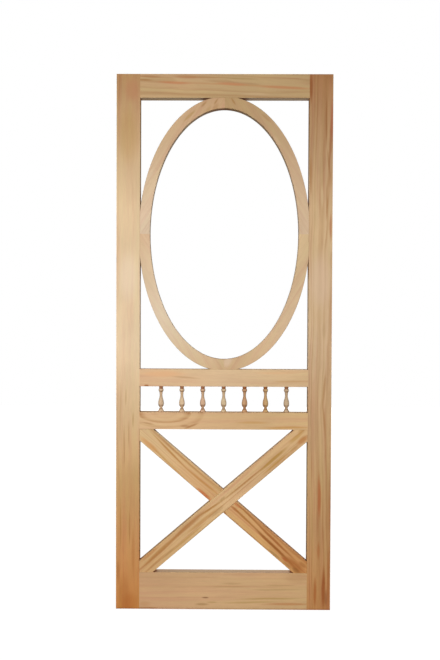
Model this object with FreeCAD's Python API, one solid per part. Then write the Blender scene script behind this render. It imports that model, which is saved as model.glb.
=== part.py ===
"""A natural pine screen door leaf, in millimetres.

Two stiles and four rails carry an oval ring of four segments, a row of turned spindles and a pair
of crossed braces. X runs across the door from the hinge edge, the outside face looks towards -Y,
and Z is up. The origin lies on the hinge edge, half way up the door and half way through it.
"""
import FreeCAD, Part
import math
import os

# Overall size of the leaf
door_width = 812.8
door_height = 2019.3
frame_thickness = 34.925

# Frame members, as widths seen from the front
stile_width = 88.9
top_rail_height = 88.9
upper_mid_rail_height = 65.6
lower_mid_rail_height = 65.0
bottom_rail_height = 139.7

# Clear heights of the two lower panels, the oval panel takes the rest
spindle_panel_height = 97.2
brace_panel_height = 544.2

# Mortise and tenon joints between rails and stiles
tenon_length = 38.1
tenon_thickness = 11.1
tenon_shoulder = 12.7
tenon_fit = 0.15
mortise_spare_depth = 1.5

# Round-over on every edge that faces a panel and on the outer edges of the stiles
eased_edge = 1.6

# Oval ring, its outside trimmed flat where it meets the frame
ring_thickness = 28.575
ring_side_width = 42.0
ring_end_width = 44.5
ring_side_trim = 4.7
ring_end_trim = 6.1

# Crossed braces, halved into each other
brace_width = 66.0
brace_thickness = 28.575
lap_fit = 0.1

# Turned spindles, with a round tenon at each end
spindle_count = 7
spindle_tenon_diameter = 7.9
spindle_tenon_length = 12.0
spindle_tenon_fit = 0.15
drilling_spare_depth = 1.0
foot_diameter = 22.4
foot_band = 2.0
foot_height = 15.9
waist_diameter = 9.4
belly_diameter = 21.4
neck_diameter = 10.2
bead_diameter = 19.0
bead_height = 13.8
bead_root_diameter = 12.6
collar_diameter = 15.6
collar_height = 7.8
collar_slope = 2.2

# Where the vase of a spindle is fullest and where its neck begins, as shares of the vase's length
belly_share = 0.25
neck_share = 0.81

# Planes of the door that the pieces share
front = -frame_thickness / 2
back = frame_thickness / 2
door_top = door_height / 2
door_bottom = -door_height / 2
panel_left = stile_width
panel_right = door_width - stile_width
centre_x = door_width / 2
brace_panel_bottom = door_bottom + bottom_rail_height
brace_panel_top = brace_panel_bottom + brace_panel_height
spindle_panel_bottom = brace_panel_top + lower_mid_rail_height
spindle_panel_top = spindle_panel_bottom + spindle_panel_height
oval_panel_bottom = spindle_panel_top + upper_mid_rail_height
oval_panel_top = door_top - top_rail_height

# Each rail by name: its lower edge, its height, and which of its edges face a panel
rails = {
    "top_rail": (oval_panel_top, top_rail_height, ("lower",)),
    "upper_mid_rail": (spindle_panel_top, upper_mid_rail_height, ("lower", "upper")),
    "lower_mid_rail": (brace_panel_top, lower_mid_rail_height, ("lower", "upper")),
    "bottom_rail": (door_bottom, bottom_rail_height, ("upper",)),
}
panels = [
    (oval_panel_bottom, oval_panel_top),
    (spindle_panel_bottom, spindle_panel_top),
    (brace_panel_bottom, brace_panel_top),
]


def vector(x, y, z):
    """A point or a direction."""
    return FreeCAD.Vector(x, y, z)


def block(low, high):
    """A box between its lowest and highest corners."""
    size = high - low
    return Part.makeBox(size.x, size.y, size.z, low)


def round_over(corner, inward, depth, along):
    """What easing takes off a square edge: the waste outside a quarter circle."""
    reach_a = inward * eased_edge
    reach_b = depth * eased_edge
    centre = corner + reach_a + reach_b
    middle = centre - (inward + depth) * (eased_edge / math.sqrt(2))
    start = corner + reach_a
    end = corner + reach_b
    outline = Part.Wire([
        Part.LineSegment(corner, start).toShape(),
        Part.Arc(start, middle, end).toShape(),
        Part.LineSegment(end, corner).toShape(),
    ])
    return Part.Face(outline).extrude(along)


def tenon_between(x_start, x_end, bottom, height, fit):
    """The tongue of a rail, or with a fit the mortise that takes it."""
    half = tenon_thickness / 2 + fit
    low = vector(x_start, -half, bottom + tenon_shoulder - fit)
    high = vector(x_end, half, bottom + height - tenon_shoulder + fit)
    return block(low, high)


def spindle_places():
    """The middle of each spindle, evenly spaced across the panel."""
    pitch = (panel_right - panel_left) / (spindle_count + 1)
    return [panel_left + pitch * (index + 1) for index in range(spindle_count)]


def make_stile(outer, inner):
    """A stile from its outer edge to its inner edge, mortised for the rails and eased."""
    stile = block(
        vector(min(outer, inner), front, door_bottom),
        vector(max(outer, inner), back, door_top),
    )
    way_in = math.copysign(1, outer - inner)
    mortise_end = inner + way_in * (tenon_length + mortise_spare_depth)
    for bottom, height, edges in rails.values():
        x_start, x_end = sorted((inner, mortise_end))
        stile = stile.cut(tenon_between(x_start, x_end, bottom, height, tenon_fit))
    towards_outer = vector(way_in, 0, 0)
    for y, depth in ((front, vector(0, 1, 0)), (back, vector(0, -1, 0))):
        full_height = vector(0, 0, door_height)
        waste = [round_over(vector(outer, y, door_bottom), towards_outer * -1, depth, full_height)]
        for bottom, top in panels:
            run = vector(0, 0, top - bottom)
            waste.append(round_over(vector(inner, y, bottom), towards_outer, depth, run))
        stile = stile.cut(waste)
    return stile


def make_rail(name):
    """A rail between the stiles, with its tenons and its panel edges eased."""
    bottom, height, eased_sides = rails[name]
    rail = block(vector(panel_left, front, bottom), vector(panel_right, back, bottom + height))
    run = vector(panel_right - panel_left, 0, 0)
    edges = {"lower": (bottom, vector(0, 0, 1)), "upper": (bottom + height, vector(0, 0, -1))}
    for y, depth in ((front, vector(0, 1, 0)), (back, vector(0, -1, 0))):
        for side in eased_sides:
            z, inward = edges[side]
            rail = rail.cut(round_over(vector(panel_left, y, z), inward, depth, run))
    for shoulder, end in ((panel_left, panel_left - tenon_length), (panel_right, panel_right + tenon_length)):
        x_start, x_end = sorted((shoulder, end))
        rail = rail.fuse(tenon_between(x_start, x_end, bottom, height, 0))
    return rail.removeSplitter()


def drill_for_spindles(rail, face_z, up):
    """Blind holes in a rail for the round tenons of the spindles."""
    radius = spindle_tenon_diameter / 2 + spindle_tenon_fit
    depth = spindle_tenon_length + drilling_spare_depth
    holes = [
        Part.makeCylinder(radius, depth, vector(x, spindle_y(), face_z), vector(0, 0, up))
        for x in spindle_places()
    ]
    return rail.cut(holes)


def spindle_y():
    """The spindles stand on the middle of the rails."""
    return (front + back) / 2


def oval_disc(half_width, half_height, rim):
    """A flat oval of the ring's thickness, flush with the outside face, each rim stepped by a bevel."""
    sections = ((0, rim), (abs(rim), 0), (ring_thickness - abs(rim), 0), (ring_thickness, rim))
    outlines = []
    for depth, growth in sections:
        centre = vector(centre_x, front + depth, (oval_panel_bottom + oval_panel_top) / 2)
        side = centre + vector(half_width + growth, 0, 0)
        end = centre + vector(0, 0, half_height + growth)
        longer, shorter = (end, side) if half_height > half_width else (side, end)
        outlines.append(Part.Wire(Part.Ellipse(longer, shorter, centre).toShape()))
    solid, ruled = True, True
    return Part.makeLoft(outlines, solid, ruled)


def make_ring_segments():
    """The oval ring, its rims bevelled, trimmed to the panel and divided where it touches the frame."""
    half_width = (panel_right - panel_left) / 2 + ring_side_trim
    half_height = (oval_panel_top - oval_panel_bottom) / 2 + ring_end_trim
    outside = oval_disc(half_width, half_height, -eased_edge)
    inside = oval_disc(half_width - ring_side_width, half_height - ring_end_width, eased_edge)
    ring = outside.cut(inside)
    middle_z = (oval_panel_bottom + oval_panel_top) / 2
    sides = {"left": (panel_left, centre_x), "right": (centre_x, panel_right)}
    levels = {"upper": (middle_z, oval_panel_top), "lower": (oval_panel_bottom, middle_z)}
    segments = {}
    for level, (bottom, top) in levels.items():
        for side, (x_start, x_end) in sides.items():
            quarter = block(vector(x_start, front, bottom), vector(x_end, back, top))
            segments[f"ring_{level}_{side}"] = ring.common(quarter)
    return segments


def slanted_bar(slope, width, y_start, y_end):
    """A bar through the middle of the brace panel, longer than the panel's diagonal."""
    run = panel_right - panel_left
    angle = math.degrees(math.atan2(brace_panel_height, run))
    reach = math.hypot(brace_panel_height, run)
    bar = block(vector(-reach, y_start, -width / 2), vector(reach, y_end, width / 2))
    bar.rotate(vector(0, 0, 0), vector(0, 1, 0), -slope * angle)
    bar.translate(vector(centre_x, 0, (brace_panel_bottom + brace_panel_top) / 2))
    return bar


def make_brace(slope, lap_start, lap_end):
    """A brace cut to the panel's corners, eased, and halved where the other one crosses it."""
    brace_back = front + brace_thickness
    brace = slanted_bar(slope, brace_width, front, brace_back)
    longest = max(edge.Length for edge in brace.Edges)
    arrises = [edge for edge in brace.Edges if math.isclose(edge.Length, longest)]
    brace = brace.makeFillet(eased_edge, arrises)
    panel = block(
        vector(panel_left, front, brace_panel_bottom),
        vector(panel_right, back, brace_panel_top),
    )
    lap = slanted_bar(-slope, brace_width + 2 * lap_fit, lap_start, lap_end)
    return brace.common(panel).cut(lap)


def profile_point(radius, height):
    """A point of a turned profile."""
    return vector(radius, 0, height)


def profile_line(start, end):
    """A straight stretch of a turned profile."""
    return Part.LineSegment(start, end).toShape()


def upright_arc(upright, other):
    """An arc of a turned profile that runs upright at its first end."""
    swing = other.x - upright.x
    rise = other.z - upright.z
    radius = (swing**2 + rise**2) / (2 * abs(swing))
    half_turn = math.atan2(abs(rise), radius - abs(swing)) / 2
    middle = profile_point(
        upright.x + math.copysign(radius * (1 - math.cos(half_turn)), swing),
        upright.z + math.copysign(radius * math.sin(half_turn), rise),
    )
    return Part.Arc(upright, middle, other).toShape()


def ogee(start, end):
    """Two equal arcs in a smooth S that is upright at both ends."""
    middle = (start + end) * 0.5
    return [upright_arc(start, middle), upright_arc(end, middle)]


def make_spindle(x):
    """A turned spindle: cone foot, vase, neck, bead and collar between two round tenons."""
    tenon_radius = spindle_tenon_diameter / 2
    bead_top = spindle_panel_top - collar_height
    bead_bottom = bead_top - bead_height
    waist_height = spindle_panel_bottom + foot_height
    vase_length = bead_bottom - waist_height
    tenon_start = profile_point(0, spindle_panel_bottom - spindle_tenon_length)
    tenon_end = profile_point(0, spindle_panel_top + spindle_tenon_length)
    lower_tenon = profile_point(tenon_radius, tenon_start.z)
    upper_tenon = profile_point(tenon_radius, tenon_end.z)
    lower_seat = profile_point(tenon_radius, spindle_panel_bottom)
    upper_seat = profile_point(tenon_radius, spindle_panel_top)
    foot_edge = profile_point(foot_diameter / 2, spindle_panel_bottom)
    foot_rim = profile_point(foot_diameter / 2, spindle_panel_bottom + foot_band)
    waist = profile_point(waist_diameter / 2, waist_height)
    belly = profile_point(belly_diameter / 2, waist_height + vase_length * belly_share)
    neck = profile_point(neck_diameter / 2, waist_height + vase_length * neck_share)
    bead_foot = profile_point(bead_root_diameter / 2, bead_bottom)
    bead_middle = profile_point(bead_diameter / 2, bead_bottom + bead_height / 2)
    bead_head = profile_point(bead_root_diameter / 2, bead_top)
    collar_rim = profile_point(collar_diameter / 2, bead_top + collar_slope)
    collar_edge = profile_point(collar_diameter / 2, spindle_panel_top)
    stretches = [
        profile_line(tenon_start, lower_tenon),
        profile_line(lower_tenon, lower_seat),
        profile_line(lower_seat, foot_edge),
        profile_line(foot_edge, foot_rim),
        profile_line(foot_rim, waist),
        upright_arc(belly, waist),
        *ogee(belly, neck),
        profile_line(neck, bead_foot),
        Part.Arc(bead_foot, bead_middle, bead_head).toShape(),
        profile_line(bead_head, collar_rim),
        profile_line(collar_rim, collar_edge),
        profile_line(collar_edge, upper_seat),
        profile_line(upper_seat, upper_tenon),
        profile_line(upper_tenon, tenon_end),
        profile_line(tenon_end, tenon_start),
    ]
    outline = Part.Wire(Part.sortEdges(stretches)[0])
    spindle = Part.Face(outline).revolve(vector(0, 0, 0), vector(0, 0, 1), 360)
    spindle.translate(vector(x, spindle_y(), 0))
    return spindle


def build():
    """Every piece of the door by name."""
    pieces = {
        "left_stile": make_stile(0, panel_left),
        "right_stile": make_stile(door_width, panel_right),
    }
    for name in rails:
        pieces[name] = make_rail(name)
    pieces["upper_mid_rail"] = drill_for_spindles(pieces["upper_mid_rail"], spindle_panel_top, 1)
    pieces["lower_mid_rail"] = drill_for_spindles(pieces["lower_mid_rail"], spindle_panel_bottom, -1)
    pieces.update(make_ring_segments())
    lap_plane = front + brace_thickness / 2
    pieces["rising_brace"] = make_brace(1, lap_plane, back)
    pieces["falling_brace"] = make_brace(-1, front, lap_plane)
    for number, x in enumerate(spindle_places(), start=1):
        pieces[f"spindle_{number}"] = make_spindle(x)
    return pieces


os.makedirs("parts", exist_ok=True)
for node, shape in build().items():
    shape.exportStep(f"parts/{node}.step")
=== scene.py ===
"""The looks of a pine screen door: the grain and tone of every board, its turned spindles and a plain stage.

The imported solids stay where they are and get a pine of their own, board by board. Each board is cut from
the same procedural timber: growth rings round a pith behind the face, stained streaks along the grain and
fine fibres. The spindles are turned again from their profile and take the place of the plain solids.
"""
import math
from dataclasses import dataclass

import bpy
from mathutils import Matrix, Vector


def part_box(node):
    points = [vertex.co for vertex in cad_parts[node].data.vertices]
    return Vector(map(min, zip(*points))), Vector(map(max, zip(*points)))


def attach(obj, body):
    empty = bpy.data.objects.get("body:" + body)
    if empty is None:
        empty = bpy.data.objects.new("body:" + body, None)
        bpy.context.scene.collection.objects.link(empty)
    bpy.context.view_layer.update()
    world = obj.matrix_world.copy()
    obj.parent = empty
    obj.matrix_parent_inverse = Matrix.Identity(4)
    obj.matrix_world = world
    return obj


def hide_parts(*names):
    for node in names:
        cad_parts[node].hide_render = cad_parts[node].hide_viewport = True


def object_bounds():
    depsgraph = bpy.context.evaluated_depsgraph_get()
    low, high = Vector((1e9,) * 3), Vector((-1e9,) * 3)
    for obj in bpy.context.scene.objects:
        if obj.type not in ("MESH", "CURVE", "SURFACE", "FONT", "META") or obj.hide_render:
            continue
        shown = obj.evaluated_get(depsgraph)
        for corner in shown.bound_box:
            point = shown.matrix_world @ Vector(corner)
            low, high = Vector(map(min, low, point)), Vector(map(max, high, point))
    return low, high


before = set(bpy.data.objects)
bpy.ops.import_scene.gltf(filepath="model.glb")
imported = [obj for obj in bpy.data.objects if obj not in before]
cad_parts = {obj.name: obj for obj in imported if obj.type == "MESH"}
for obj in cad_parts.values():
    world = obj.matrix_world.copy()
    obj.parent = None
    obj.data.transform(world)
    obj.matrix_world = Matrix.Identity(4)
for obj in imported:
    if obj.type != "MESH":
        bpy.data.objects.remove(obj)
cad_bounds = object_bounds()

bl_info = {
    "name": "Pine screen door",
    "version": (1, 0, 0),
    "blender": (4, 5, 0),
    "location": "3D View > Sidebar > Screen door",
    "description": "Gives a screen door its pine boards, turned spindles and stage",
    "category": "Object",
}

MM = 0.001
SPINDLES = [f"spindle_{number}" for number in range(1, 8)]
DOOR_LOW, DOOR_HIGH = cad_bounds
DOOR_MIDDLE = (DOOR_LOW + DOOR_HIGH) / 2
SPINDLE_PANEL_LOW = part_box("lower_mid_rail")[1].z
SPINDLE_PANEL_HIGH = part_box("upper_mid_rail")[0].z
PICTURE_WIDTH = 36.0             # millimetres that the lens is given for
CREASE = math.radians(32)        # turned edges that are sharper than this stay crisp


def linear(hex_colour):
    """A linear colour with alpha from an sRGB hex value."""
    colour = []
    for start in (0, 2, 4):
        value = int(hex_colour[start:start + 2], 16) / 255
        colour.append(value / 12.92 if value <= 0.04045 else ((value + 0.055) / 1.055) ** 2.4)
    return (*colour, 1.0)


# Boards

@dataclass
class Mark:
    """A streak, stain or pale patch in the outside face, or painted shade or light laid on it, in millimetres
    from the board's own middle.
    """
    along: float       # place along the grain
    across: float      # place across the board
    length: float
    width: float
    colour: str
    strength: float    # share of the colour at the middle of the mark
    tilt: float = 0.0  # degrees from the grain


@dataclass
class Board:
    """How a board was sawn. Lengths are in millimetres from the board's own middle."""
    grain: float       # degrees that the grain rises from the door's width
    tones: tuple       # colours along the grain
    pith: tuple        # the log's middle: along the grain, behind the face, across the board
    ring: float        # a year's growth
    taper: float       # narrowing of the log along the grain, which closes the rings to loops
    lines: float       # strength of the latewood lines
    stain: float       # strength of the reddish streaks
    seed: float        # place in the timber
    reach: float = 1000.0   # distance from the pith over which the latewood lines stay strong
    uneven: float = 2.4     # how far good and bad years push the lines about
    sheen: float = 0.01     # how far the plane left the wood to shine
    marks: tuple = ()


RING_GRAIN = 58.0
BRACE_GRAIN = 40.6

FRAME_BOARDS = {
    "left_stile": Board(
        grain=90, tones=("CC884C", "C9A16F", "E9CDA9", "E0C39C", "B78E61"), pith=(200, 60, -30),
        ring=13.0, taper=0.030, lines=0.2, stain=0.15, seed=5.0,
        marks=(Mark(950, -12, 120, 70, "B7815E", 0.6), Mark(-960, 14, 220, 60, "B06E38", 0.4),
               Mark(-985, -8, 100, 80, "A9561E", 0.25), Mark(-790, -20, 240, 16, "A0561F", 0.25),
               Mark(-700, -5, 180, 8, "8E5222", 0.35), Mark(-690, 28, 260, 9, "AA7540", 0.5),
               Mark(-870, 37, 130, 14, "A8693A", 0.5), Mark(-395, 14, 220, 8, "A2733E", 0.45),
               Mark(-345, -3, 130, 8, "AC814E", 0.4), Mark(-290, -19, 80, 8, "AC814E", 0.5),
               Mark(-205, 9, 90, 8, "B48C5C", 0.45), Mark(-250, 30, 280, 9, "BD9769", 0.4),
               # the wide pale patch across the stile just above its middle is partly the wood's own paler
               # colour and partly a painted pool of light where the light falls brightest
               Mark(780, 0, 290, 100, "B0863F", 0.3), Mark(250, 0, 250, 100, "F0DABE", 0.45))),
    "right_stile": Board(
        grain=90, tones=("C18A58", "C59F72", "D0B18D", "CBAC84", "A57750"), pith=(-300, 40, -50),
        ring=12.0, taper=0.035, lines=0.65, stain=0.25, seed=2.0,
        marks=(Mark(-945, 13, 160, 17, "A75E2F", 0.7), Mark(-930, -17, 240, 19, "954A21", 0.75),
               Mark(-900, -36, 320, 14, "9D5929", 0.6), Mark(-785, 3, 90, 15, "AD6B3E", 0.6),
               Mark(-580, 0, 220, 19, "AF663D", 0.75), Mark(-285, -18, 190, 12, "A1703B", 0.5, 4),
               # the wide pale patch across the stile just above its middle is partly the wood's own paler
               # colour and partly a painted pool of light where the light falls brightest
               Mark(-175, -18, 190, 12, "A2713C", 0.5, -4), Mark(235, 0, 280, 110, "DDBFA6", 0.4),
               Mark(440, -38, 140, 12, "AE6E48", 0.65), Mark(515, -25, 130, 11, "A87A4C", 0.5, -4),
               Mark(640, 38, 220, 11, "9C6B3B", 0.6), Mark(680, -30, 130, 11, "936137", 0.35, 6),
               Mark(840, -21, 260, 11, "8E5C34", 0.6), Mark(840, -40, 230, 12, "AB624A", 0.65),
               Mark(960, 38, 150, 18, "8C502C", 0.7), Mark(-965, -27, 90, 16, "8A5030", 0.5),
               Mark(552, -4, 110, 18, "D2B68E", 0.5), Mark(680, -38, 110, 12, "C0A07C", 0.5),
               Mark(47, -15, 90, 16, "B4946C", 0.4))),
    "top_rail": Board(
        grain=-2.2, tones=("C1A075", "BD9E73", "BA9A6E"), pith=(-150, 45, 10),
        ring=12.0, taper=0.030, lines=0.55, stain=0.15, seed=3.0, sheen=0.2,
        marks=(Mark(20, 6, 600, 11, "B6885A", 0.5), Mark(-190, 4.5, 160, 14, "BC6F46", 0.5),
               Mark(25, 8.5, 160, 14, "C07A54", 0.5), Mark(222, 2, 270, 15, "B87048", 0.55),
               Mark(-285, 22, 130, 12, "A26F43", 0.65), Mark(-305, 10, 90, 10, "96642F", 0.5),
               Mark(-75, 28, 260, 9, "9E7040", 0.5, 1.7), Mark(60, 29, 170, 9, "967A42", 0.45),
               Mark(-145, 27, 130, 15, "AE7A50", 0.65), Mark(115, -25, 150, 16, "C4A67E", 0.5))),
    "upper_mid_rail": Board(
        grain=0, tones=("E3BA93", "DCBD97", "D7B68B"), pith=(-250, 35, 5),
        ring=13.0, taper=0.060, lines=0.25, stain=0.1, seed=4.0,
        marks=(Mark(-230, 14, 220, 36, "E4AF81", 0.6), Mark(-292, -31, 24, 11, "A4622D", 0.85),
               Mark(-145, 0, 140, 10, "BD9268", 0.5, -5), Mark(250, -10, 180, 10, "C39865", 0.5),
               Mark(200, 20, 230, 12, "DEB084", 0.5))),
    "lower_mid_rail": Board(
        grain=0, tones=("DBB68B", "D3AE82", "D3AD7F"), pith=(-224, -17, 27),
        ring=18.9, taper=0.37, lines=0.6, stain=0.1, seed=1.0,
        reach=56.0, uneven=0.0,
        marks=(Mark(-122, -20, 80, 13, "AB7748", 0.75, 26), Mark(110, -6, 160, 13, "C39458", 0.6),
               Mark(240, -24, 240, 13, "C08B4B", 0.65), Mark(-146, -21, 50, 16, "A8754C", 0.55),
               Mark(-285, -13, 64, 9, "AE8052", 0.6, -10))),
    "bottom_rail": Board(
        grain=1.0, tones=("CDA278", "D2AB7E", "D0A979"), pith=(900, 60, 90),
        ring=11.0, taper=0.040, lines=0.15, stain=0.1, seed=6.0, sheen=0.2,
        marks=(Mark(20, 14, 190, 10, "AE8852", 0.4), Mark(35, 27, 110, 10, "AB8150", 0.35),
               Mark(200, 2, 280, 10, "AC8654", 0.4), Mark(215, 19, 170, 9, "AE8854", 0.45),
               Mark(175, -32, 320, 10, "A8843F", 0.55), Mark(105, -45, 290, 10, "B08A4A", 0.5),
               Mark(245, -53, 260, 13, "B5723E", 0.55), Mark(-290, -62, 120, 13, "A77245", 0.6),
               Mark(-80, -50, 70, 13, "A07843", 0.55), Mark(-42, -42, 56, 10, "AB864A", 0.45),
               Mark(-67, -24, 34, 8, "784F2C", 0.75), Mark(285, 48, 130, 50, "B88A60", 0.45),
               Mark(-297, -45, 60, 30, "BE8A58", 0.4))),
}
RING_BOARDS = {
    "ring_upper_left": Board(
        grain=RING_GRAIN, tones=("DBC3A6", "D0B28E", "C6A07A"), pith=(0, 50, 30),
        ring=9.0, taper=0.03, lines=0.1, stain=0.1, seed=7.0,
        marks=(Mark(271, 22, 40, 10, "A17541", 0.6), Mark(239, 55, 40, 10, "A07C42", 0.5, -13),
               Mark(173, 76, 84, 13, "A98648", 0.5, -13), Mark(248, 12, 60, 24, "AE8458", 0.5),
               Mark(228, 30, 50, 20, "AE8C58", 0.4), Mark(-104, 85, 90, 20, "DCC4A6", 0.4))),
    "ring_upper_right": Board(
        grain=-RING_GRAIN, tones=("B9996E", "C1A17F", "D2B697"), pith=(0, 60, -20),
        ring=9.0, taper=0.03, lines=0.1, stain=0.1, seed=8.0,
        marks=(Mark(-272, 21, 40, 10, "A17541", 0.6), Mark(-154, 92, 64, 10, "AB7A4E", 0.45, 15),
               Mark(-59, 81, 70, 20, "D2B690", 0.4))),
    "ring_lower_left": Board(
        grain=-RING_GRAIN, tones=("DCBB96", "DFC9AC", "CFB087"), pith=(0, 55, 10),
        ring=9.0, taper=0.03, lines=0.06, stain=0.08, seed=9.0),
    "ring_lower_right": Board(
        grain=RING_GRAIN, tones=("CFAD86", "D4B693", "D5B78E"), pith=(0, 45, -30),
        ring=9.0, taper=0.03, lines=0.06, stain=0.08, seed=10.0,
        marks=(Mark(-265, 3, 70, 40, "DCC2A6", 0.6),)),
}
BRACE_BOARDS = {
    "rising_brace": Board(
        grain=BRACE_GRAIN, tones=("D2A674", "DBB586", "D4AD7F"), pith=(0, 20, -75),
        ring=9.0, taper=0.05, lines=0.6, stain=0.2, seed=11.0, sheen=0.06,
        marks=(Mark(-300, 12, 290, 21, "A66A28", 0.6, 2), Mark(-160, 17, 230, 21, "A46424", 0.6, 2),
               Mark(-55, 11, 150, 13, "A86D29", 0.7, -7.5), Mark(100, 1, 300, 10, "A87436", 0.6, -1.2),
               Mark(-340, 29, 120, 16, "BA7A43", 0.5), Mark(-350, -10, 160, 10, "AC7438", 0.5, 2),
               Mark(-110, -5, 200, 16, "B47A38", 0.5, -1), Mark(-45, -10, 120, 8, "AF7C44", 0.5, -3),
               Mark(-200, -18, 260, 11, "B08030", 0.45), Mark(245, -2, 190, 18, "A67820", 0.65),
               Mark(245, -20, 180, 14, "B07C24", 0.6), Mark(365, 4, 90, 18, "B88A36", 0.5),
               Mark(-110, -30, 380, 6, "A07A3C", 0.45), Mark(250, -30, 280, 6, "9A7440", 0.4),
               Mark(378, -18, 70, 30, "B87A40", 0.7), Mark(-45, -16, 90, 16, "B08A5C", 0.5),
               Mark(2, 8, 40, 14, "A88250", 0.5), Mark(-285, -14, 80, 14, "AC8450", 0.5),
               Mark(400, 10, 50, 24, "B88A48", 0.5), Mark(333, -22, 60, 14, "B08040", 0.5))),
    "falling_brace": Board(
        grain=-BRACE_GRAIN, tones=("DAB98A", "D4A773", "D0955B"), pith=(0, 20, 80),
        ring=10.0, taper=0.05, lines=0.6, stain=0.2, seed=12.0, sheen=0.14,
        marks=(Mark(-215, 26, 380, 9, "B27938", 0.35, -1.2), Mark(-275, 11.5, 270, 11, "B0742C", 0.7, -4.6),
               Mark(-115, 5.5, 250, 12, "B8752E", 0.6, 1), Mark(-350, -20, 130, 22, "D08A4B", 0.55),
               Mark(-260, -23, 260, 11, "BC8440", 0.5, -3), Mark(-72, -26, 100, 18, "BE5A26", 0.7),
               Mark(48, 22, 70, 13, "C46D44", 0.6), Mark(52, 4, 60, 13, "A5582C", 0.6),
               Mark(100, 23.5, 170, 10, "9F5D23", 0.65, -2), Mark(240, 15, 300, 14, "9B541E", 0.75, -3.2),
               Mark(210, 29, 240, 8, "94501F", 0.15, -2), Mark(100, 4, 160, 12, "A06020", 0.7, -2),
               Mark(250, -5, 300, 17, "904F15", 0.8, -4), Mark(320, -17, 44, 13, "A8401E", 0.55),
               Mark(365, -8, 130, 46, "A05A22", 0.6), Mark(130, -30, 380, 6, "80502A", 0.45),
               Mark(-190, -31, 300, 5, "96622E", 0.4), Mark(30, -27, 34, 12, "95541F", 0.55),
               Mark(381, -21, 50, 24, "8A5628", 0.6), Mark(278, -27, 90, 12, "9C7A4C", 0.6),
               Mark(386, 13, 50, 20, "9A5A26", 0.5), Mark(340, -26, 60, 12, "A06C36", 0.5))),
}
SPINDLE_TONES = ("DCC0A0", "DEC09E", "D8B494", "D8C09C", "C9A079", "CAA576", "C9B090")
# a spindle's marks are measured up from its foot and go right round it. The dark bands below and above the
# waist, round the neck and at the bead's root are painted shade in those hollows, and the dark band over the
# bead's top and the collar is painted shadow under the upper rail.
SPINDLE_BLANK = Board(
    grain=90, tones=SPINDLE_TONES, pith=(0, 30, 10),
    ring=5.0, taper=0.03, lines=0.5, stain=0.3, seed=13.0,
    marks=(Mark(95, 0, 24, 70, "98522A", 0.85), Mark(78.5, 0, 9, 70, "70431F", 0.6),
           Mark(66, 0, 44, 70, "B28C66", 0.45), Mark(24.5, 0, 14, 70, "74441E", 0.6),
           Mark(11.5, 0, 10, 70, "74441E", 0.6)))


# Sizes and colours that a user would change

class PineFinish(bpy.types.PropertyGroup):
    """Clear pine, planed and sanded."""
    latewood: bpy.props.FloatVectorProperty(
        name="Latewood", description="Tint of the dark line that ends each year's growth",
        subtype="COLOR", size=4, min=0, max=1, default=linear("C8A478"))
    stain: bpy.props.FloatVectorProperty(
        name="Stain", description="Tint of the reddish streaks along the grain",
        subtype="COLOR", size=4, min=0, max=1, default=linear("D29E80"))
    end_grain: bpy.props.FloatVectorProperty(
        name="End grain", description="Tint of faces that cut across the grain",
        subtype="COLOR", size=4, min=0, max=1, default=linear("C4A486"))
    wander_length: bpy.props.FloatProperty(
        name="Wander length", description="Length over which the grain drifts to and fro",
        unit="LENGTH", default=260 * MM)
    wander_width: bpy.props.FloatProperty(
        name="Wander width", description="Width over which neighbouring lines drift together",
        unit="LENGTH", default=60 * MM)
    wander: bpy.props.FloatProperty(
        name="Wander", description="How far the grain drifts", unit="LENGTH", default=8 * MM)
    streak_length: bpy.props.FloatProperty(
        name="Streak length", description="Length of a stained streak", unit="LENGTH", default=420 * MM)
    streak_width: bpy.props.FloatProperty(
        name="Streak width", description="Width of a stained streak", unit="LENGTH", default=14 * MM)
    fibre_length: bpy.props.FloatProperty(
        name="Fibre length", description="Length of a bundle of fibres", unit="LENGTH", default=45 * MM)
    fibre_width: bpy.props.FloatProperty(
        name="Fibre width", description="Width of a bundle of fibres, drawn coarse enough to show",
        unit="LENGTH", default=2.2 * MM)
    cloud_size: bpy.props.FloatProperty(
        name="Cloud size", description="Size of the slow changes of tone", unit="LENGTH", default=110 * MM)
    mark_depth: bpy.props.FloatProperty(
        name="Mark depth", description="How deep a stain goes into the board", unit="LENGTH", default=20 * MM)
    # painted shade: the colour laid into the sharp corners where boards meet, where shade falls
    corner_shade: bpy.props.FloatVectorProperty(
        name="Corner shade", description="Colour of the painted shade in the sharp corners between boards",
        subtype="COLOR", size=4, min=0, max=1, default=linear("904A0C"))
    corner_reach: bpy.props.FloatProperty(
        name="Corner reach", description="How near to a corner the painted shade lies", unit="LENGTH", default=16 * MM)
    grain_depth: bpy.props.FloatProperty(
        name="Grain depth", description="Height of the raised grain", unit="LENGTH", default=0.25 * MM)


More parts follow.
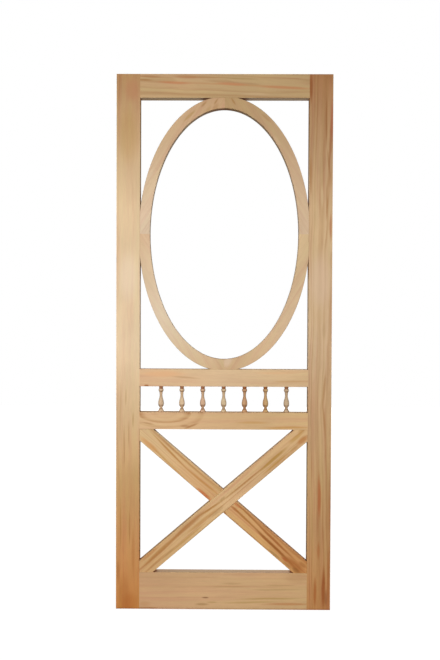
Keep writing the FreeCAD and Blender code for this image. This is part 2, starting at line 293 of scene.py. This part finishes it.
class SpindleTurning(bpy.types.PropertyGroup):
    """The turned profile of a spindle, from its foot on the lower rail to its collar under the upper rail."""
    foot_diameter: bpy.props.FloatProperty(
        name="Foot", description="Diameter of the foot", unit="LENGTH", default=22.4 * MM)
    foot_band: bpy.props.FloatProperty(
        name="Foot band", description="Height of the foot's straight edge", unit="LENGTH", default=2.0 * MM)
    foot_height: bpy.props.FloatProperty(
        name="Foot height", description="Height of the foot up to the waist",
        unit="LENGTH", default=15.9 * MM)
    waist_diameter: bpy.props.FloatProperty(
        name="Waist", description="Diameter between foot and vase", unit="LENGTH", default=9.4 * MM)
    belly_diameter: bpy.props.FloatProperty(
        name="Belly", description="Largest diameter of the vase", unit="LENGTH", default=21.4 * MM)
    belly_share: bpy.props.FloatProperty(
        name="Belly place", description="Place of the belly along the vase", subtype="FACTOR", default=0.25)
    neck_diameter: bpy.props.FloatProperty(
        name="Neck", description="Smallest diameter of the vase", unit="LENGTH", default=10.2 * MM)
    neck_share: bpy.props.FloatProperty(
        name="Neck place", description="Place of the neck along the vase", subtype="FACTOR", default=0.81)
    bead_root_diameter: bpy.props.FloatProperty(
        name="Bead root", description="Diameter above and below the bead", unit="LENGTH", default=12.6 * MM)
    bead_diameter: bpy.props.FloatProperty(
        name="Bead", description="Largest diameter of the bead", unit="LENGTH", default=19.0 * MM)
    bead_height: bpy.props.FloatProperty(
        name="Bead height", description="Height of the bead", unit="LENGTH", default=13.8 * MM)
    collar_diameter: bpy.props.FloatProperty(
        name="Collar", description="Diameter of the collar", unit="LENGTH", default=15.6 * MM)
    collar_height: bpy.props.FloatProperty(
        name="Collar height", description="Height of the collar", unit="LENGTH", default=7.8 * MM)
    collar_slope: bpy.props.FloatProperty(
        name="Collar slope", description="Height of the slope below the collar's band",
        unit="LENGTH", default=2.2 * MM)
    sides: bpy.props.IntProperty(
        name="Sides", description="Facets round a spindle", default=48, min=12)
    arc_steps: bpy.props.IntProperty(
        name="Arc steps", description="Steps along each arc of the profile", default=10, min=3)


class StudioStage(bpy.types.PropertyGroup):
    """Plain floor, soft light and the camera."""
    camera_place: bpy.props.FloatVectorProperty(
        name="Camera place", description="Where the camera stands", subtype="TRANSLATION", unit="LENGTH",
        default=(0.4095, -2.6175, 0.0936))
    camera_yaw: bpy.props.FloatProperty(
        name="Camera yaw", description="Turn of the camera to the left", unit="ROTATION", default=0.0069)
    camera_nod: bpy.props.FloatProperty(
        name="Camera nod", description="Turn of the camera downwards", unit="ROTATION", default=0.0166)
    camera_roll: bpy.props.FloatProperty(
        name="Camera roll", description="Tilt of the picture", unit="ROTATION", default=0.004)
    lens: bpy.props.FloatProperty(
        name="Lens", description="Focal length for a 36 mm picture", unit="CAMERA", default=37.63)
    front_power: bpy.props.FloatProperty(
        name="Front light", description="Power of the soft light in front", unit="POWER", default=132.0)
    rear_power: bpy.props.FloatProperty(
        name="Rear light", description="Power of the soft light behind", unit="POWER", default=308.0)
    edge_power: bpy.props.FloatProperty(
        name="Edge lights", description="Power of each strip light beside and above the door",
        unit="POWER", default=19.0)
    edge_width: bpy.props.FloatProperty(
        name="Edge light width", description="Width of a strip light through the door's thickness",
        unit="LENGTH", default=0.05)
    ambient: bpy.props.FloatProperty(
        name="Ambient", description="Brightness of the room round the door", default=0.25, min=0)
    floor_size: bpy.props.FloatProperty(
        name="Floor size", description="Side of the floor", unit="LENGTH", default=12.0)


# Limits of the timber's patterns

NOISE_LOW, NOISE_HIGH = 0.3, 0.7        # most values of a noise lie between these
STREAK_START, STREAK_FULL = 0.5, 0.72   # noise at which a stain sets in, and at which it is full
FADED, UNFADED = 0.32, 0.62             # noise at which year lines are weak, and strong
WEAK_LINE, STRONG_LINE = 0.3, 1.3       # strength of year lines there
NEAR_PITH, FAR_FROM_PITH = 0.7, 1.3     # shares of a board's reach over which year lines die away
FAR_LINE = 0.05                         # strength of year lines beyond that
GOOD_YEARS = 0.45                       # how often good years take turns with bad ones
SEASONS = ((0.0, 0.0), (0.4, 0.05), (0.8, 1.0), (0.95, 0.6), (1.0, 0.0))   # darkness through a year
CLOUD_STRETCH = 2.5                     # length of a cloud for its width
DULL, BRIGHT = 0.93, 1.07               # brightness that clouds and fibres give
YELLOWER, REDDER = 0.508, 0.492         # hue that the streak noise gives, where 0.5 changes nothing
MARK_CORE = 0.3                         # share of a mark's reach that has its full strength
END_START, END_FULL = 0.35, 0.95        # how far a face cuts the grain where end grain starts, and is full
CORNER_SHADE_FULL, CORNER_SHADE_NONE = 0.42, 0.68       # openness of a corner that gets the full painted shade, and of one that gets none
SANDED, FIBROUS, SHADED_CORNER_MATT = 0.7, 0.82, 1.0   # roughness of the wood, and of the painted shade in its sharp corners
LATEWOOD_RELIEF = 0.6                   # height of the latewood beside that of the fibres
RELIEF_STRENGTH = 0.5


# Node trees

def add_node(tree, kind, inputs=None, stops=None, **settings):
    """Add a node with its settings, colour stops, and a value or a link for each input."""
    node = tree.nodes.new(kind)
    for name, value in settings.items():
        setattr(node, name, value)
    for place, (position, colour) in enumerate(stops or ()):
        ramp = node.color_ramp.elements
        stop = ramp[place] if place < 2 else ramp.new(position)
        stop.position = position
        stop.color = colour
    for socket, value in (inputs or {}).items():
        if isinstance(value, bpy.types.NodeSocket):
            tree.links.new(value, node.inputs[socket])
        else:
            node.inputs[socket].default_value = value
    return node


def grey(value):
    """A grey for a ramp that gives a number."""
    return (value, value, value, 1.0)


def even_stops(tones):
    """Colours at even places along a ramp."""
    return [(place / (len(tones) - 1), linear(tone)) for place, tone in enumerate(tones)]


# Materials

def grain_noise(tree, place, seed, length, width, detail, roughness=0.5):
    """The outputs of a noise in patches of a length along the grain and a width across it."""
    scale = (1 / length, 1 / width, 1 / width)
    patches = add_node(tree, "ShaderNodeMapping", {"Vector": place, "Scale": scale}).outputs[0]
    return add_node(tree, "ShaderNodeTexNoise",
                    {"Vector": patches, "W": seed, "Scale": 1.0, "Detail": detail, "Roughness": roughness},
                    noise_dimensions="4D").outputs


def year_lines(tree, board, grown, seed, streak_noise):
    """How dark the latewood is: lines round the pith, uneven in width and in strength."""
    pith = [offset * MM for offset in board.pith]
    log = add_node(tree, "ShaderNodeMapping",
                   {"Vector": grown, "Location": pith, "Scale": (1 / board.taper, 1, 1)},
                   vector_type="TEXTURE").outputs[0]
    radius = add_node(tree, "ShaderNodeVectorMath", {0: log}, operation="LENGTH").outputs["Value"]
    even_years = add_node(tree, "ShaderNodeMath", {0: radius, 1: board.ring * MM},
                          operation="DIVIDE").outputs[0]
    unevenness = add_node(tree, "ShaderNodeTexNoise", {"W": even_years, "Scale": GOOD_YEARS, "Detail": 0.0},
                          noise_dimensions="1D").outputs["Fac"]
    years = add_node(tree, "ShaderNodeMath", {0: unevenness, 1: board.uneven, 2: even_years},
                     operation="MULTIPLY_ADD").outputs[0]
    season = add_node(tree, "ShaderNodeMath", {0: years}, operation="FRACT").outputs[0]
    season_line = add_node(tree, "ShaderNodeValToRGB", {0: season},
                           stops=[(place, grey(value)) for place, value in SEASONS]).outputs[0]

    # each year has a strength of its own, and all fade in places and far from the pith
    year = add_node(tree, "ShaderNodeMath", {0: years}, operation="FLOOR").outputs[0]
    own_year = add_node(tree, "ShaderNodeMath", {0: year, 1: seed}, operation="ADD").outputs[0]
    year_strength = add_node(tree, "ShaderNodeTexWhiteNoise", {"W": own_year},
                             noise_dimensions="1D").outputs[0]
    near, far = NEAR_PITH * board.reach * MM, FAR_FROM_PITH * board.reach * MM
    near_pith = add_node(tree, "ShaderNodeMapRange",
                         {0: radius, 1: near, 2: far, 3: 1.0, 4: FAR_LINE}).outputs[0]
    fading = add_node(tree, "ShaderNodeMapRange",
                      {0: streak_noise, 1: FADED, 2: UNFADED, 3: WEAK_LINE, 4: STRONG_LINE}).outputs[0]
    kept = add_node(tree, "ShaderNodeMath", {0: fading, 1: near_pith}, operation="MULTIPLY").outputs[0]
    strength = add_node(tree, "ShaderNodeMath", {0: year_strength, 1: kept}, operation="MULTIPLY").outputs[0]
    return add_node(tree, "ShaderNodeMath", {0: season_line, 1: strength}, operation="MULTIPLY").outputs[0]


def with_marks(tree, board, grown, face, colour):
    """The colour with the board's streaks, stains and pale patches, and its painted shade and light, laid
    over it.
    """
    depth = bpy.context.scene.pine_finish.mark_depth
    for mark in board.marks:
        spot = {"Vector": grown, "Location": (mark.along * MM, face, mark.across * MM),
                "Rotation": (0, -math.radians(mark.tilt), 0),
                "Scale": (mark.length / 2 * MM, depth, mark.width / 2 * MM)}
        spot_place = add_node(tree, "ShaderNodeMapping", spot, vector_type="TEXTURE").outputs[0]
        distance = add_node(tree, "ShaderNodeVectorMath", {0: spot_place},
                            operation="LENGTH").outputs["Value"]
        share = add_node(tree, "ShaderNodeMapRange", {0: distance, 1: MARK_CORE, 3: mark.strength, 4: 0.0},
                         interpolation_type="SMOOTHSTEP").outputs[0]
        colour = add_node(tree, "ShaderNodeMix", {0: share, 6: colour, 7: linear(mark.colour)},
                          data_type="RGBA").outputs[2]
    return colour


def pine(name, board, middle, length, face, spindles=False):
    """Clear pine, planed and sanded: warm tan with darker year lines, reddish streaks and a dull sheen."""
    finish = bpy.context.scene.pine_finish
    material = bpy.data.materials.new(name)
    material.use_nodes = True
    tree = material.node_tree
    tree.nodes.clear()

    # the board's own axes: along the grain, through the thickness and across the face
    if spindles:
        place = add_node(tree, "ShaderNodeAttribute", attribute_name="blank_place").outputs["Vector"]
        number = add_node(tree, "ShaderNodeAttribute", attribute_name="spindle_number").outputs["Fac"]
        seed = add_node(tree, "ShaderNodeMath", {0: number, 1: board.seed}, operation="ADD").outputs[0]
    else:
        place = add_node(tree, "ShaderNodeTexCoord").outputs["Object"]
        seed = board.seed
    rise = math.radians(board.grain)
    sawn = add_node(tree, "ShaderNodeMapping",
                    {"Vector": place, "Location": middle, "Rotation": (0, -rise, 0)},
                    vector_type="TEXTURE").outputs[0]

    # the grain drifts slowly to and fro
    drift = grain_noise(tree, sawn, seed, finish.wander_length, finish.wander_width, detail=2.0)["Color"]
    either_way = add_node(tree, "ShaderNodeVectorMath", {0: drift, 1: (0.5, 0.5, 0.5)},
                          operation="SUBTRACT").outputs[0]
    drift_reach = (0, 2 * finish.wander, 2 * finish.wander)
    grown = add_node(tree, "ShaderNodeVectorMath", {0: either_way, 1: drift_reach, 2: sawn},
                     operation="MULTIPLY_ADD").outputs[0]

    # reddish streaks, fibres, clouds and year lines, all drawn out along the grain
    streak_noise = grain_noise(tree, grown, seed, finish.streak_length, finish.streak_width,
                               detail=3.0)["Fac"]
    streaks = add_node(tree, "ShaderNodeMapRange", {0: streak_noise, 1: STREAK_START, 2: STREAK_FULL},
                       interpolation_type="SMOOTHSTEP").outputs[0]
    fibres = grain_noise(tree, grown, seed, finish.fibre_length, finish.fibre_width,
                         detail=5.0, roughness=0.75)["Fac"]
    clouds = grain_noise(tree, sawn, seed, CLOUD_STRETCH * finish.cloud_size, finish.cloud_size,
                         detail=2.0)["Fac"]
    latewood = year_lines(tree, board, grown, seed, streak_noise)

    # colour: the board's tones, then clouds and fibres, then lines and streaks as tints, then the marks
    if spindles:
        tone_place = add_node(tree, "ShaderNodeMath", {0: number, 1: len(SPINDLES) - 1},
                              operation="DIVIDE").outputs[0]
    else:
        along = add_node(tree, "ShaderNodeSeparateXYZ", {0: sawn}).outputs["X"]
        tone_place = add_node(tree, "ShaderNodeMapRange",
                              {0: along, 1: -length / 2, 2: length / 2}).outputs[0]
    tone = add_node(tree, "ShaderNodeValToRGB", {0: tone_place}, stops=even_stops(board.tones)).outputs[0]
    noise_range = {1: NOISE_LOW, 2: NOISE_HIGH}
    brightness = {**noise_range, 3: DULL, 4: BRIGHT}
    cloud_value = add_node(tree, "ShaderNodeMapRange", {0: clouds, **brightness}).outputs[0]
    fibre_value = add_node(tree, "ShaderNodeMapRange", {0: fibres, **brightness}).outputs[0]
    value = add_node(tree, "ShaderNodeMath", {0: cloud_value, 1: fibre_value},
                     operation="MULTIPLY").outputs[0]
    hue = add_node(tree, "ShaderNodeMapRange",
                   {0: streak_noise, **noise_range, 3: YELLOWER, 4: REDDER}).outputs[0]
    clouded = add_node(tree, "ShaderNodeHueSaturation",
                       {"Color": tone, "Hue": hue, "Value": value}).outputs[0]
    line_share = add_node(tree, "ShaderNodeMath", {0: latewood, 1: board.lines},
                          operation="MULTIPLY").outputs[0]
    lined = add_node(tree, "ShaderNodeMix", {0: line_share, 6: clouded, 7: finish.latewood},
                     data_type="RGBA", blend_type="MULTIPLY").outputs[2]
    stain_share = add_node(tree, "ShaderNodeMath", {0: streaks, 1: board.stain},
                           operation="MULTIPLY").outputs[0]
    streaked = add_node(tree, "ShaderNodeMix", {0: stain_share, 6: lined, 7: finish.stain},
                        data_type="RGBA", blend_type="MULTIPLY").outputs[2]
    marked = with_marks(tree, board, grown, face, streaked)

    # faces that cut across the grain are darker
    facing = add_node(tree, "ShaderNodeNewGeometry").outputs["Normal"]
    grain_way = (math.cos(rise), 0, math.sin(rise))
    along_grain = add_node(tree, "ShaderNodeVectorMath", {0: facing, 1: grain_way},
                           operation="DOT_PRODUCT").outputs["Value"]
    cut_across = add_node(tree, "ShaderNodeMath", {0: along_grain}, operation="ABSOLUTE").outputs[0]
    end_share = add_node(tree, "ShaderNodeMapRange", {0: cut_across, 1: END_START, 2: END_FULL},
                         interpolation_type="SMOOTHSTEP").outputs[0]
    sawn_ends = add_node(tree, "ShaderNodeMix", {0: end_share, 6: marked, 7: finish.end_grain},
                         data_type="RGBA", blend_type="MULTIPLY").outputs[2]

    # painted shade: a dark, matt colour laid into the sharp corners where boards meet, where shade falls
    openness = add_node(tree, "ShaderNodeAmbientOcclusion", {"Distance": finish.corner_reach},
                        samples=6).outputs["AO"]
    painted_corner_shade = add_node(tree, "ShaderNodeMapRange",
                          {0: openness, 1: CORNER_SHADE_FULL, 2: CORNER_SHADE_NONE, 3: 1.0, 4: 0.0}).outputs[0]
    colour = add_node(tree, "ShaderNodeMix", {0: painted_corner_shade, 6: sawn_ends, 7: finish.corner_shade},
                      data_type="RGBA").outputs[2]

    # the hard latewood and the fibres stand a little proud, and the fibres break up the sheen
    relief = add_node(tree, "ShaderNodeMath", {0: latewood, 1: LATEWOOD_RELIEF, 2: fibres},
                      operation="MULTIPLY_ADD").outputs[0]
    raised = add_node(tree, "ShaderNodeBump", {"Height": relief, "Strength": RELIEF_STRENGTH,
                                               "Distance": finish.grain_depth}).outputs[0]
    wood_roughness = add_node(tree, "ShaderNodeMapRange",
                              {0: fibres, **noise_range, 3: SANDED, 4: FIBROUS}).outputs[0]
    # the painted shade in the corners is made matt as well
    roughness = add_node(tree, "ShaderNodeMapRange", {0: painted_corner_shade, 3: wood_roughness, 4: SHADED_CORNER_MATT}).outputs[0]
    wood = add_node(tree, "ShaderNodeBsdfPrincipled",
                    {"Base Color": colour, "Roughness": roughness, "Normal": raised,
                     "Specular IOR Level": board.sheen}).outputs[0]
    add_node(tree, "ShaderNodeOutputMaterial", {"Surface": wood})
    return material


def seen_directly(tree):
    """How far a ray comes from the camera, a reflection or glass, which all see the plain white surround."""
    path = add_node(tree, "ShaderNodeLightPath").outputs
    mirrored = add_node(tree, "ShaderNodeMath", {0: path["Is Glossy Ray"], 1: path["Is Transmission Ray"]},
                        operation="MAXIMUM").outputs[0]
    return add_node(tree, "ShaderNodeMath", {0: path["Is Camera Ray"], 1: mirrored},
                    operation="MAXIMUM").outputs[0]


def painted_floor():
    """Matt white floor paint: faint shadow near the door, plain white further off, clear from below."""
    near, far = 0.3, 2.5
    near_glow, far_glow = 0.96, 1.0
    material = bpy.data.materials.new("matt_white_floor_paint")
    material.use_nodes = True
    tree = material.node_tree
    tree.nodes.clear()
    paint = add_node(tree, "ShaderNodeBsdfDiffuse", {"Color": linear("808080")}).outputs[0]
    shade = add_node(tree, "ShaderNodeBsdfDiffuse", {"Color": linear("505050")}).outputs[0]
    place = add_node(tree, "ShaderNodeTexCoord").outputs["Object"]
    middle = (DOOR_MIDDLE.x, DOOR_MIDDLE.y, DOOR_LOW.z)
    away = add_node(tree, "ShaderNodeVectorMath", {0: place, 1: middle},
                    operation="DISTANCE").outputs["Value"]
    strength = add_node(tree, "ShaderNodeMapRange",
                        {0: away, 1: near, 2: far, 3: near_glow, 4: far_glow}).outputs[0]
    glow = add_node(tree, "ShaderNodeEmission", {"Strength": strength}).outputs[0]
    seen = add_node(tree, "ShaderNodeAddShader", {0: shade, 1: glow}).outputs[0]
    painted = add_node(tree, "ShaderNodeMixShader", {0: seen_directly(tree), 1: paint, 2: seen}).outputs[0]
    underside = add_node(tree, "ShaderNodeNewGeometry").outputs["Backfacing"]
    clear = add_node(tree, "ShaderNodeBsdfTransparent").outputs[0]
    surface = add_node(tree, "ShaderNodeMixShader", {0: underside, 1: painted, 2: clear}).outputs[0]
    add_node(tree, "ShaderNodeOutputMaterial", {"Surface": surface})
    return material


# Pieces

def finish_boards(boards):
    """Give each board's solid a pine of its own."""
    for node, board in boards.items():
        low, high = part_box(node)
        size = high - low
        rise = math.radians(board.grain)
        length = abs(math.cos(rise)) * size.x + abs(math.sin(rise)) * size.z
        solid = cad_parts[node]
        solid.data.materials.clear()
        middle = (low + high) / 2
        solid.data.materials.append(pine(f"sanded_pine_{node}", board, middle, length, low.y - middle.y))


def upright_arc(upright, other, steps):
    """Points of an arc that runs upright at its first end, as (radius, height)."""
    swing = other[0] - upright[0]
    rise = other[1] - upright[1]
    radius = (swing**2 + rise**2) / (2 * abs(swing))
    whole_turn = math.atan2(abs(rise), radius - abs(swing))
    points = []
    for step in range(steps + 1):
        turn = whole_turn * step / steps
        points.append((upright[0] + math.copysign(radius * (1 - math.cos(turn)), swing),
                       upright[1] + math.copysign(radius * math.sin(turn), rise)))
    return points


def ogee(start, end, steps):
    """Points of two equal arcs in a smooth S that is upright at both ends."""
    middle = ((start[0] + end[0]) / 2, (start[1] + end[1]) / 2)
    return upright_arc(start, middle, steps) + upright_arc(end, middle, steps)[-2::-1]


def bead(foot, head, swelling, steps):
    """Points of a round bead that bulges from its root by a swelling."""
    half = (head[1] - foot[1]) / 2
    radius = (half**2 + swelling**2) / (2 * swelling)
    half_turn = math.asin(half / radius)
    points = []
    for step in range(steps + 1):
        turn = half_turn * (2 * step / steps - 1)
        points.append((foot[0] + swelling - radius * (1 - math.cos(turn)),
                       foot[1] + half + radius * math.sin(turn)))
    return points


def turned_profile(turning):
    """The spindle's outline from foot to collar, as (radius, height) above the lower rail."""
    height = SPINDLE_PANEL_HIGH - SPINDLE_PANEL_LOW
    bead_top = height - turning.collar_height
    bead_bottom = bead_top - turning.bead_height
    vase_length = bead_bottom - turning.foot_height
    steps = turning.arc_steps
    foot_rim = (turning.foot_diameter / 2, turning.foot_band)
    waist = (turning.waist_diameter / 2, turning.foot_height)
    belly = (turning.belly_diameter / 2, turning.foot_height + vase_length * turning.belly_share)
    neck = (turning.neck_diameter / 2, turning.foot_height + vase_length * turning.neck_share)
    bead_foot = (turning.bead_root_diameter / 2, bead_bottom)
    bead_head = (turning.bead_root_diameter / 2, bead_top)
    collar_rim = (turning.collar_diameter / 2, bead_top + turning.collar_slope)
    collar_edge = (turning.collar_diameter / 2, height)
    swelling = (turning.bead_diameter - turning.bead_root_diameter) / 2
    stretches = [
        [(turning.foot_diameter / 2, 0.0), foot_rim],
        upright_arc(belly, waist, steps)[::-1],
        ogee(belly, neck, steps)[1:],
        bead(bead_foot, bead_head, swelling, 2 * steps),
        [collar_rim, collar_edge],
    ]
    return [point for stretch in stretches for point in stretch]


def spindle_tree(material):
    """Nodes that turn an upright line to a spindle and repeat it along a row, and the sockets for sizes."""
    tree = bpy.data.node_groups.new("turned_spindles", "GeometryNodeTree")
    tree.interface.new_socket("Axis", in_out="INPUT", socket_type="NodeSocketGeometry")
    sockets = {}
    for name, kind in (("Count", "Int"), ("First place", "Vector"), ("Pitch", "Vector"), ("Sides", "Int")):
        sockets[name] = tree.interface.new_socket(name, in_out="INPUT", socket_type=f"NodeSocket{kind}")
    tree.interface.new_socket("Spindles", in_out="OUTPUT", socket_type="NodeSocketGeometry")

    # one spindle: a circle swept up the axis, crisp at its sharp edges
    given = add_node(tree, "NodeGroupInput").outputs
    radius = add_node(tree, "GeometryNodeInputNamedAttribute", {"Name": "turned_radius"}).outputs["Attribute"]
    axis = add_node(tree, "GeometryNodeMeshToCurve", {"Mesh": given["Axis"]}).outputs[0]
    section = add_node(tree, "GeometryNodeCurvePrimitiveCircle",
                       {"Resolution": given["Sides"], "Radius": 1.0}).outputs[0]
    turned = add_node(tree, "GeometryNodeCurveToMesh",
                      {"Curve": axis, "Profile Curve": section, "Scale": radius,
                       "Fill Caps": True}).outputs[0]
    angle = add_node(tree, "GeometryNodeInputMeshEdgeAngle").outputs["Unsigned Angle"]
    sharp = add_node(tree, "FunctionNodeCompare", {0: angle, 1: CREASE}, operation="GREATER_THAN").outputs[0]
    smooth = add_node(tree, "GeometryNodeSetShadeSmooth",
                      {"Geometry": turned, "Shade Smooth": True}).outputs[0]
    creased = add_node(tree, "GeometryNodeSetShadeSmooth",
                       {"Geometry": smooth, "Selection": sharp, "Shade Smooth": False},
                       domain="EDGE").outputs[0]

    # the row: every copy keeps its place on the blank for the grain, and its number for its tone
    where = add_node(tree, "GeometryNodeInputPosition").outputs[0]
    placed = add_node(tree, "GeometryNodeStoreNamedAttribute",
                      {"Geometry": creased, "Name": "blank_place", "Value": where},
                      data_type="FLOAT_VECTOR", domain="POINT").outputs[0]
    row = add_node(tree, "GeometryNodeMeshLine",
                   {"Count": given["Count"], "Start Location": given["First place"],
                    "Offset": given["Pitch"]}).outputs[0]
    copies = add_node(tree, "GeometryNodeInstanceOnPoints", {"Points": row, "Instance": placed}).outputs[0]
    index = add_node(tree, "GeometryNodeInputIndex").outputs[0]
    numbered = add_node(tree, "GeometryNodeStoreNamedAttribute",
                        {"Geometry": copies, "Name": "spindle_number", "Value": index},
                        data_type="FLOAT", domain="INSTANCE").outputs[0]
    real = add_node(tree, "GeometryNodeRealizeInstances", {"Geometry": numbered}).outputs[0]
    coated = add_node(tree, "GeometryNodeSetMaterial", {"Geometry": real, "Material": material}).outputs[0]
    add_node(tree, "NodeGroupOutput", {"Spindles": coated})
    return tree, sockets


def make_spindles():
    """Turn the row of spindles and put it in place of the plain solids."""
    turning = bpy.context.scene.spindle_turning
    profile = turned_profile(turning)
    axis = bpy.data.meshes.new("spindle_axis")
    links = [(step, step + 1) for step in range(len(profile) - 1)]
    axis.from_pydata([(0, 0, height) for radius, height in profile], links, [])
    radii = axis.attributes.new("turned_radius", "FLOAT", "POINT")
    radii.data.foreach_set("value", [radius for radius, height in profile])
    host = bpy.data.objects.new("spindle_lathe", axis)
    bpy.context.scene.collection.objects.link(host)

    material = pine("turned_pine_spindles", SPINDLE_BLANK, (0, 0, 0), 1.0, 0.0, spindles=True)
    first_low, first_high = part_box(SPINDLES[0])
    first = (first_low + first_high) / 2
    tree, sockets = spindle_tree(material)
    modifier = host.modifiers.new("turned_spindles", "NODES")
    modifier.node_group = tree
    sizes = {
        "Count": len(SPINDLES),
        "First place": (first.x, first.y, SPINDLE_PANEL_LOW),
        "Pitch": (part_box(SPINDLES[1])[0].x - first_low.x, 0.0, 0.0),
        "Sides": turning.sides,
    }
    for name, value in sizes.items():
        modifier[sockets[name].identifier] = value
    bpy.context.view_layer.update()
    evaluated = host.evaluated_get(bpy.context.evaluated_depsgraph_get())
    mesh = bpy.data.meshes.new_from_object(evaluated)
    mesh.name = "turned_spindles"
    bpy.data.objects.remove(host)
    spindles = bpy.data.objects.new("turned_spindles", mesh)
    bpy.context.scene.collection.objects.link(spindles)
    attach(spindles, "root")
    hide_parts(*SPINDLES)


# Stage

def aim_light(name, offset, width, height, power):
    """A soft rectangular light at an offset from the door's middle, which it faces."""
    lamp = bpy.data.lights.new(name, "AREA")
    lamp.shape = "RECTANGLE"
    lamp.size = width
    lamp.size_y = height
    lamp.energy = power
    light = bpy.data.objects.new(name, lamp)
    place = DOOR_MIDDLE + Vector(offset)
    way = DOOR_MIDDLE - place
    light.matrix_world = Matrix.Translation(place) @ way.to_track_quat("-Z", "Y").to_matrix().to_4x4()
    bpy.context.scene.collection.objects.link(light)


def make_stage():
    """Floor, surround, lights and camera."""
    scene = bpy.context.scene
    stage = scene.studio_stage
    scene.view_settings.view_transform = "Standard"

    half = stage.floor_size / 2
    mesh = bpy.data.meshes.new("studio_floor")
    corners = [(DOOR_MIDDLE.x + x, DOOR_MIDDLE.y + y, DOOR_LOW.z)
               for x, y in ((-half, -half), (half, -half), (half, half), (-half, half))]
    mesh.from_pydata(corners, [], [(0, 1, 2, 3)])
    mesh.materials.append(painted_floor())
    floor = bpy.data.objects.new("studio_floor", mesh)
    scene.collection.objects.link(floor)

    world = bpy.data.worlds.new("studio_surround")
    world.use_nodes = True
    tree = world.node_tree
    tree.nodes.clear()
    room = add_node(tree, "ShaderNodeBackground", {"Strength": stage.ambient}).outputs[0]
    white = add_node(tree, "ShaderNodeBackground", {"Color": linear("FFFFFF")}).outputs[0]
    surround = add_node(tree, "ShaderNodeMixShader", {0: seen_directly(tree), 1: room, 2: white}).outputs[0]
    add_node(tree, "ShaderNodeOutputWorld", {"Surface": surround})
    scene.world = world

    # each light's place from the door's middle, its width and its height in metres, and its power
    strip_width, strip_power = stage.edge_width, stage.edge_power
    aim_light("front_light", (-0.3, -4.0, 0.5), 1.4, 1.4, stage.front_power)
    aim_light("rear_light", (0.3, 7.0, 0.5), 2.0, 2.0, stage.rear_power)
    aim_light("left_strip", (-2.0, 0.0, 0.0), strip_width, 1.8, strip_power)
    aim_light("right_strip", (2.0, 0.0, 0.0), strip_width, 1.8, strip_power)
    aim_light("top_strip", (0.0, 0.0, 3.0), 1.4, strip_width, strip_power)

    camera = bpy.data.objects.new("camera", bpy.data.cameras.new("camera"))
    camera.data.lens = stage.lens
    camera.data.sensor_width = PICTURE_WIDTH
    turn = (Matrix.Rotation(stage.camera_yaw, 4, "Z")
            @ Matrix.Rotation(math.pi / 2 - stage.camera_nod, 4, "X")
            @ Matrix.Rotation(stage.camera_roll, 4, "Z"))
    camera.matrix_world = Matrix.Translation(stage.camera_place) @ turn
    scene.collection.objects.link(camera)
    scene.camera = camera


# Operators and panel

class SCREENDOOR_OT_finish_frame(bpy.types.Operator):
    """Give the stiles and rails their pine"""
    bl_idname = "screendoor.finish_frame"
    bl_label = "Finish stiles and rails"

    def execute(self, context):
        finish_boards(FRAME_BOARDS)
        return {"FINISHED"}


class SCREENDOOR_OT_finish_ring(bpy.types.Operator):
    """Give the four segments of the oval ring their pine"""
    bl_idname = "screendoor.finish_ring"
    bl_label = "Finish oval ring"

    def execute(self, context):
        finish_boards(RING_BOARDS)
        return {"FINISHED"}


class SCREENDOOR_OT_finish_braces(bpy.types.Operator):
    """Give the crossed braces their pine"""
    bl_idname = "screendoor.finish_braces"
    bl_label = "Finish crossed braces"

    def execute(self, context):
        finish_boards(BRACE_BOARDS)
        return {"FINISHED"}


class SCREENDOOR_OT_turn_spindles(bpy.types.Operator):
    """Turn the row of spindles between the middle rails"""
    bl_idname = "screendoor.turn_spindles"
    bl_label = "Turn spindles"

    def execute(self, context):
        make_spindles()
        return {"FINISHED"}


class SCREENDOOR_OT_set_stage(bpy.types.Operator):
    """Lay the floor and set the light and the camera"""
    bl_idname = "screendoor.set_stage"
    bl_label = "Set stage"

    def execute(self, context):
        make_stage()
        return {"FINISHED"}


GROUPS = {"pine_finish": PineFinish, "spindle_turning": SpindleTurning, "studio_stage": StudioStage}
OPERATORS = (
    SCREENDOOR_OT_finish_frame,
    SCREENDOOR_OT_finish_ring,
    SCREENDOOR_OT_finish_braces,
    SCREENDOOR_OT_turn_spindles,
    SCREENDOOR_OT_set_stage,
)


class SCREENDOOR_PT_sidebar(bpy.types.Panel):
    """Sizes, colours and steps of the screen door"""
    bl_label = "Screen door"
    bl_idname = "SCREENDOOR_PT_sidebar"
    bl_space_type = "VIEW_3D"
    bl_region_type = "UI"
    bl_category = "Screen door"

    def draw(self, context):
        for name, group in GROUPS.items():
            box = self.layout.box()
            for setting in group.__annotations__:
                box.prop(getattr(context.scene, name), setting)
        for operator in OPERATORS:
            self.layout.operator(operator.bl_idname)


def register():
    """Register the classes and give the scene its settings."""
    for group in (*GROUPS.values(), *OPERATORS, SCREENDOOR_PT_sidebar):
        bpy.utils.register_class(group)
    for name, group in GROUPS.items():
        setattr(bpy.types.Scene, name, bpy.props.PointerProperty(type=group))


def unregister():
    """Take the settings and the classes away again."""
    for name in GROUPS:
        delattr(bpy.types.Scene, name)
    for group in (SCREENDOOR_PT_sidebar, *reversed(OPERATORS), *GROUPS.values()):
        bpy.utils.unregister_class(group)


def main():
    """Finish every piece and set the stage."""
    register()
    bpy.ops.screendoor.finish_frame()
    bpy.ops.screendoor.finish_ring()
    bpy.ops.screendoor.finish_braces()
    bpy.ops.screendoor.turn_spindles()
    bpy.ops.screendoor.set_stage()


if __name__ == "__main__":
    main()
